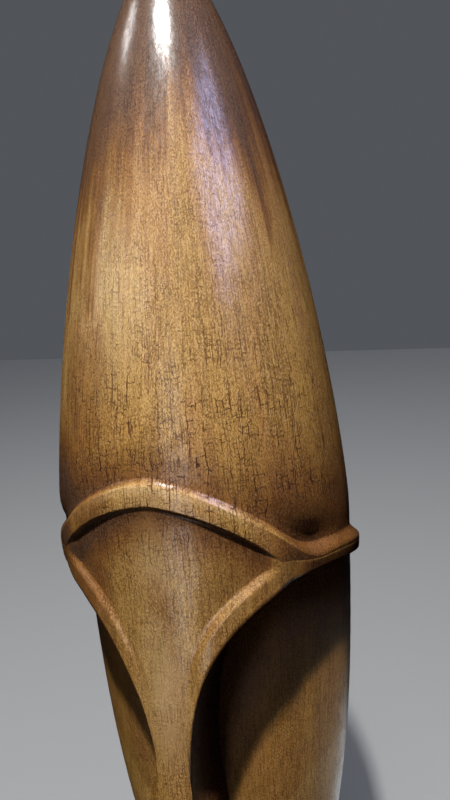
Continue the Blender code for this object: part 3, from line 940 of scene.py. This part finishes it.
# %% [markdown]
# ## Stain and painted shade on the wood
# The mask says where the carving held the stain back and where shade is painted. Stain darkens the
# point of the head, down to a ragged line; towards the sides turned from the camera that line hangs
# lower, which darkens those sides. Stain also lies in one brushed streak on the left. Painted shade
# makes the left of the forehead darker, most in a faint band below that streak. Each is a value from
# 0 to 1, and the largest of them counts.

# %% Where the stain and painted shade lie
POINT_STAIN = (0.472, 0.564)
POINT_HANG = 0.039
POINT_MIDDLE = 0.021

sideways = varnished_wood.part(grain_place, 0)
gathered_stain_and_shade = varnished_wood.make("ShaderNodeAttribute", dict(attribute_name="stain_and_shade"), {}, output=2)
# Painted shade: the mask counts for up to nine tenths more on the left side of the upper face.
left_side_shade = sideways.ramp(0.0, -0.045) * height.ramp(0.28, 0.33)
held_stain_and_shade = gathered_stain_and_shade * (0.55 + clouds * 0.9) * (1.0 + left_side_shade * 0.9)

turned_away = ((POINT_MIDDLE - sideways).ramp(0.010, 0.050)
               + (sideways - POINT_MIDDLE).ramp(0.012, 0.055) * 0.6)
uneven = (streaks + clouds - 1.0) * 0.12 + (fibres - 0.5) * 0.05
at_point = (height + turned_away * POINT_HANG + uneven).ramp(*POINT_STAIN)

from_streak = abs(sideways - height * 0.16 + 0.112)
left_streak = (1.0 - from_streak.ramp(0.0005, 0.006)) * height.ramp(0.410, 0.425)
# Painted shade: a faint band down the lower left of the forehead and the left of the panel.
left_shade = (sideways.ramp(-0.005, -0.030) * sideways.ramp(-0.056, -0.046)
              * (1.0 - height.ramp(0.425, 0.460)) * height.ramp(0.30, 0.34))

stain_and_shade_share = held_stain_and_shade.most(at_point * (0.30 + 0.45 * streaks + 0.65 * pores))
stain_and_shade_share = stain_and_shade_share.most(left_streak * (0.7 * streaks)).most(left_shade * 0.38).least(1.0)
print("nodes with the stain:", len(varnished_wood.tree.nodes))

# %% [markdown]
# ## Colour
# Honey-brown wood, browner along the streaks, and paler where it was wiped or worn; part of that
# paleness is a painted sheen, on the left of the forehead and down the middle of the face. A rosy tone
# comes and goes in broad patches. Thin stain and light painted shade multiply the colour, as a glaze
# does, and thick stain and deep painted shade cover it, with lighter flecks where the pores show.
# The cracks and the darkest pores come last.

# %% Colours of wood, stain, painted shade and cracks
PALE_WOOD = (0.56, 0.395, 0.180, 1.0)
HONEY_WOOD = (0.45, 0.250, 0.052, 1.0)
BROWN_WOOD = (0.21, 0.098, 0.019, 1.0)
ROSY_TONE = (0.98, 0.93, 1.02, 1.0)
THIN_STAIN_AND_SHADE = (0.52, 0.38, 0.24, 1.0)
THICK_STAIN_AND_SHADE = (0.040, 0.018, 0.010, 1.0)
FLECK_TONE = (0.12, 0.062, 0.035, 1.0)
CRACK_TONE = (0.20, 0.085, 0.012, 1.0)

tint = streaks * 0.18 + fibres * 0.20 + pores * 0.54 + clouds * 0.08
colour = varnished_wood.blend(BROWN_WOOD, HONEY_WOOD, tint.ramp(0.41, 0.55))
# Partly wiped wood, partly a painted sheen: a paler patch on the left of the forehead.
wiped_and_sheen = height.ramp(0.395, 0.440) * (1.0 - height.ramp(0.455, 0.500))
wiped_and_sheen = wiped_and_sheen * (1.0 - abs(sideways + 0.022).ramp(0.005, 0.035))
pale = (pores * 0.7 + fibres * 0.3).ramp(0.47, 0.60) * 0.55 + wiped_and_sheen * 0.45 + height.ramp(0.38, 0.46) * 0.12
colour = varnished_wood.blend(colour, PALE_WOOD, pale)
# Wear and painted sheen: the wear mask pales the wood along the arch's edge and down the middle of the
# face.
worn_and_sheen = varnished_wood.make("ShaderNodeAttribute", dict(attribute_name="wear_and_sheen"), {}, output=2)
colour = varnished_wood.blend(colour, PALE_WOOD, worn_and_sheen * clouds.ramp(0.25, 0.55) * 0.85)
colour = varnished_wood.blend(colour, ROSY_TONE, hue, kind="MULTIPLY")

# Painted shade: the stain mask also darkens the creases, under the arch, the wings, the cuts and the left
# side.
colour = varnished_wood.blend(colour, THIN_STAIN_AND_SHADE, stain_and_shade_share.ramp(0.0, 0.6), kind="MULTIPLY")
thick_stain_and_shade = varnished_wood.blend(THICK_STAIN_AND_SHADE, FLECK_TONE, pores.ramp(0.47, 0.60))
colour = varnished_wood.blend(colour, thick_stain_and_shade, stain_and_shade_share.ramp(0.35, 1.0) * 0.9)
dark_pores = (1.0 - pores.ramp(0.36, 0.50)) * (0.30 + 0.5 * at_point)
colour = varnished_wood.blend(colour, CRACK_TONE, (cracks * 0.95).most(dark_pores), kind="MULTIPLY")
print("nodes with the colours:", len(varnished_wood.tree.nodes))

# %% [markdown]
# ## Gloss and relief
# The varnish is a glossy coat that follows the fibres. It is thinner across the threads, in the
# cracks and low on the piece, so its highlights break into upright lines, and the fibres, pores and
# cracks drive a fine relief. No cloth reaches into the hollows, where the stain stayed dull, so a
# second, matt shader of the same colour takes over there.

# %% Varnish, relief and dull hollows
COAT_ROUGHNESS = 0.23
RELIEF_DEPTH = 0.0004

relief = fibres * 0.5 + pores * 1.2 + streaks * 0.2 - cracks * 0.9
normal = varnished_wood.make("ShaderNodeBump", {},
                             {"Strength": 0.8, "Distance": RELIEF_DEPTH, "Height": relief})
varnish = (0.85 - cracks * 0.7 - gathered_stain_and_shade * 0.3) * (0.5 + threads * 0.6)
higher = 0.15 + 0.85 * height.ramp(0.205, 0.31)

shader = varnished_wood.shader
varnished_wood.put(shader.inputs["Base Color"], colour)
varnished_wood.put(shader.inputs["Roughness"],
                   0.30 + (fibres - 0.5) * 0.35 + cracks * 0.2 + stain_and_shade_share * 0.25)
varnished_wood.put(shader.inputs["Normal"], normal)
varnished_wood.put(shader.inputs["Coat Weight"], varnish * higher)
shader.inputs["IOR"].default_value = 1.45
shader.inputs["Coat Roughness"].default_value = COAT_ROUGHNESS
shader.inputs["Specular IOR Level"].default_value = 0.2
unpolished = varnished_wood.add_shader(colour, gathered_stain_and_shade.ramp(0.45, 0.95))
unpolished.inputs["Roughness"].default_value = 0.9
unpolished.inputs["Specular IOR Level"].default_value = 0.0
mesh.materials.append(varnished_wood.material)
print("nodes in the finish:", len(varnished_wood.tree.nodes))

# %% [markdown]
# ## Join it to the solid model
# The fine skin stands for the solid of the same form, and goes where that solid goes.

# %% Stand in for the solid
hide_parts("face_sculpture")
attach(face, "root")
print("pieces:", [face.name])

# %% [markdown]
# ## Floor and light
# A plain pale floor, which glows as faintly as the soft grey surround so that the two belong
# together. The main lamp hangs high in front of the face: its height follows from how far the
# brow's shadow falls on the cheeks. A photographer would put white boards round a varnished piece to
# draw its highlights, and the other lamps are those boards. Most of them show in the varnish alone.

# %% Stage
LAMP_TARGET = 0.42
SURROUND = (0.30, 0.32, 0.36, 1.0)
SURROUND_STRENGTH = 0.28
FLOOR_GREY = (0.22, 0.23, 0.245, 1.0)
FLOOR_HALF = 3.0
FLOOR_LEVEL = -0.0005


def plain_floor():
    """A wide square just under the foot, in matt pale grey with the surround's faint glow."""
    floor_mesh = bpy.data.meshes.new("floor")
    corners = [(side * FLOOR_HALF, front * FLOOR_HALF, FLOOR_LEVEL)
               for side, front in ((-1, -1), (1, -1), (1, 1), (-1, 1))]
    floor_mesh.from_pydata(corners, [], [(0, 1, 2, 3)])
    floor = bpy.data.objects.new("floor", floor_mesh)
    matt = Finish("matt_floor")
    matt.shader.inputs["Base Color"].default_value = FLOOR_GREY
    matt.shader.inputs["Roughness"].default_value = 0.8
    matt.shader.inputs["Emission Color"].default_value = SURROUND
    matt.shader.inputs["Emission Strength"].default_value = SURROUND_STRENGTH
    matt.material.cycles.emission_sampling = "NONE"
    floor.visible_diffuse = floor.visible_glossy = False
    floor_mesh.materials.append(matt.material)
    bpy.context.scene.collection.objects.link(floor)
    return floor


def soft_lamp(name, serves, azimuth, elevation, distance, size, power, colour, roll=0.0):
    """A rectangular lamp on a sphere round the head, facing its middle, its right side raised by roll."""
    lamp = bpy.data.objects.new(name, bpy.data.lights.new(name, "AREA"))
    lamp.data.shape, lamp.data.size, lamp.data.size_y = "RECTANGLE", *size
    lamp.data.energy, lamp.data.color = power, colour
    lamp.visible_diffuse = serves != "varnish"
    lamp.visible_glossy = serves != "wood"
    lamp.visible_camera = False
    back = direction(azimuth, elevation)
    level = direction(azimuth + 90.0, 0.0)
    right = np.cos(np.radians(roll)) * level + np.sin(np.radians(roll)) * np.cross(back, level)
    place = distance * back + (0.0, 0.0, LAMP_TARGET)
    lamp.matrix_world = placed(right, np.cross(back, right), back, place)
    bpy.context.scene.collection.objects.link(lamp)
    return lamp


# Each lamp's name, what it serves, azimuth, elevation, distance, width and height, power and colour.
LAMPS = (
    ("main_lamp", "wood", 4.0, 65.0, 1.6, (0.06, 0.06), 58.0, (1.0, 0.95, 0.88)),
    ("point_lamp", "varnish", 1.0, 67.0, 1.6, (0.36, 0.12), 62.0, (1.0, 0.98, 0.95)),
    ("fill_panel", "both", 0.0, -8.0, 1.6, (1.6, 1.2), 2.2, (1.0, 0.92, 0.82)),
    ("cool_panel", "varnish", 64.0, 38.0, 1.5, (1.0, 0.70), 27.0, (0.54, 0.58, 1.0), 15.0),
    ("small_lamp", "varnish", -82.0, 52.0, 1.5, (0.30, 0.26), 4.0, (1.0, 1.0, 1.0)),
    ("front_panel", "varnish", 0.0, -14.0, 0.60, (0.20, 0.60), 1.45, (1.0, 0.97, 0.95)),
    ("upper_panel", "varnish", -10.0, 34.0, 1.5, (1.15, 1.10), 5.2, (1.0, 0.98, 0.97)),
    ("left_panel", "varnish", -46.0, 22.0, 1.5, (1.60, 0.44), 5.0, (1.0, 0.97, 0.92)),
    ("edge_panel", "varnish", 129.0, -61.0, 0.50, (0.18, 0.12), 0.15, (0.95, 0.98, 1.0)),
)

floor = plain_floor()
for settings in LAMPS:
    soft_lamp(*settings)

surround = bpy.data.worlds.new("surround")
bpy.context.scene.world = surround
surround.use_nodes = True
surround.node_tree.nodes["Background"].inputs["Color"].default_value = SURROUND
surround.node_tree.nodes["Background"].inputs["Strength"].default_value = SURROUND_STRENGTH
surround.cycles_visibility.diffuse = surround.cycles_visibility.glossy = False
bpy.context.scene.view_settings.view_transform = "Standard"

# %% [markdown]
# The fine surface may not be larger than the solid it stands for.
